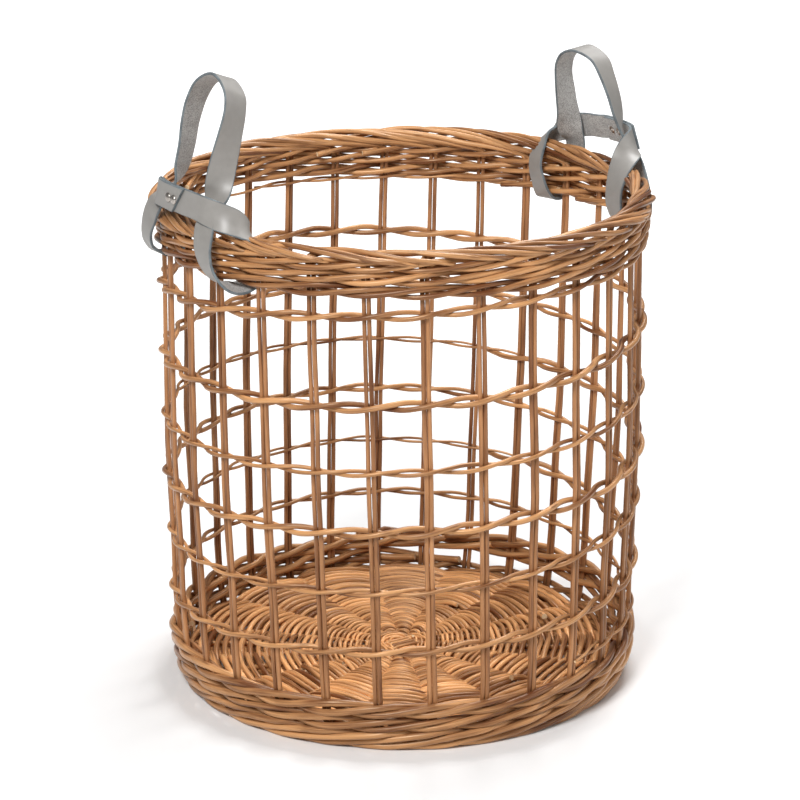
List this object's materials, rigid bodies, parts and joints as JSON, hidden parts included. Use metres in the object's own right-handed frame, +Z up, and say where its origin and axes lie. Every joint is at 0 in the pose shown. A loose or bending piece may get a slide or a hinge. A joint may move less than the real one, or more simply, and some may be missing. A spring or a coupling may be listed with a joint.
{
  "type": "wicker storage basket",
  "caption": "Round open storage basket of paired willow rods with woven foot and rim, rolled border and leather strap loop handles.",
  "frame": {"origin": "on the floor under the middle of the basket", "axes": "+Z up; the two handles stand on +X and -X"},
  "size_m": [0.4904, 0.4706, 0.6029],
  "materials": {
    "willow": "golden brown steamed willow rods, satin",
    "willow_border": "darker, thicker willow rods of the rolled border, satin",
    "leather": "warm grey strap leather, smooth outside, suede inside, pale cut edges",
    "rivet_metal": "dark polished nickel"
  },
  "bodies": {
    "basket": {"stake_pair_01": "willow", "stake_pair_02": "willow", "stake_pair_03": "willow", "stake_pair_04": "willow", "stake_pair_05": "willow", "stake_pair_06": "willow", "stake_pair_07": "willow", "stake_pair_08": "willow", "stake_pair_09": "willow", "stake_pair_10": "willow", "stake_pair_11": "willow", "stake_pair_12": "willow", "stake_pair_13": "willow", "stake_pair_14": "willow", "stake_pair_15": "willow", "stake_pair_16": "willow", "stake_pair_17": "willow", "stake_pair_18": "willow", "stake_pair_19": "willow", "stake_pair_20": "willow", "stake_pair_21": "willow", "stake_pair_22": "willow", "stake_pair_23": "willow", "stake_pair_24": "willow", "stake_pair_25": "willow", "stake_pair_26": "willow", "stake_pair_27": "willow", "stake_pair_28": "willow", "bottom_wale": "willow", "rim_wale": "willow", "rolled_border": "willow_border", "base_sticks_slit": "willow", "base_sticks_threaded": "willow", "base_weave": "willow", "weaver_1a": "willow", "weaver_1b": "willow", "weaver_2a": "willow", "weaver_2b": "willow", "weaver_3a": "willow", "weaver_3b": "willow", "weaver_4a": "willow", "weaver_4b": "willow", "left_rivet_1": "rivet_metal", "left_rivet_2": "rivet_metal", "left_handle_hitch": "leather", "right_rivet_1": "rivet_metal", "right_rivet_2": "rivet_metal", "right_handle_hitch": "leather"},
    "left_loop": {"left_handle_loop": "leather"},
    "right_loop": {"right_handle_loop": "leather"}
  },
  "joints": [
    {"name": "left_handle_fold", "type": "hinge", "parent": "basket", "child": "left_loop", "pos_m": [-0.2113, 0, 0.513], "axis": [0, 1, 0], "range_deg": [-70, 85], "stiffness_Nm_per_rad": 0.2},
    {"name": "right_handle_fold", "type": "hinge", "parent": "basket", "child": "right_loop", "pos_m": [0.2163, 0, 0.522], "axis": [0, -1, 0], "range_deg": [-70, 85], "stiffness_Nm_per_rad": 0.2}
  ]
}
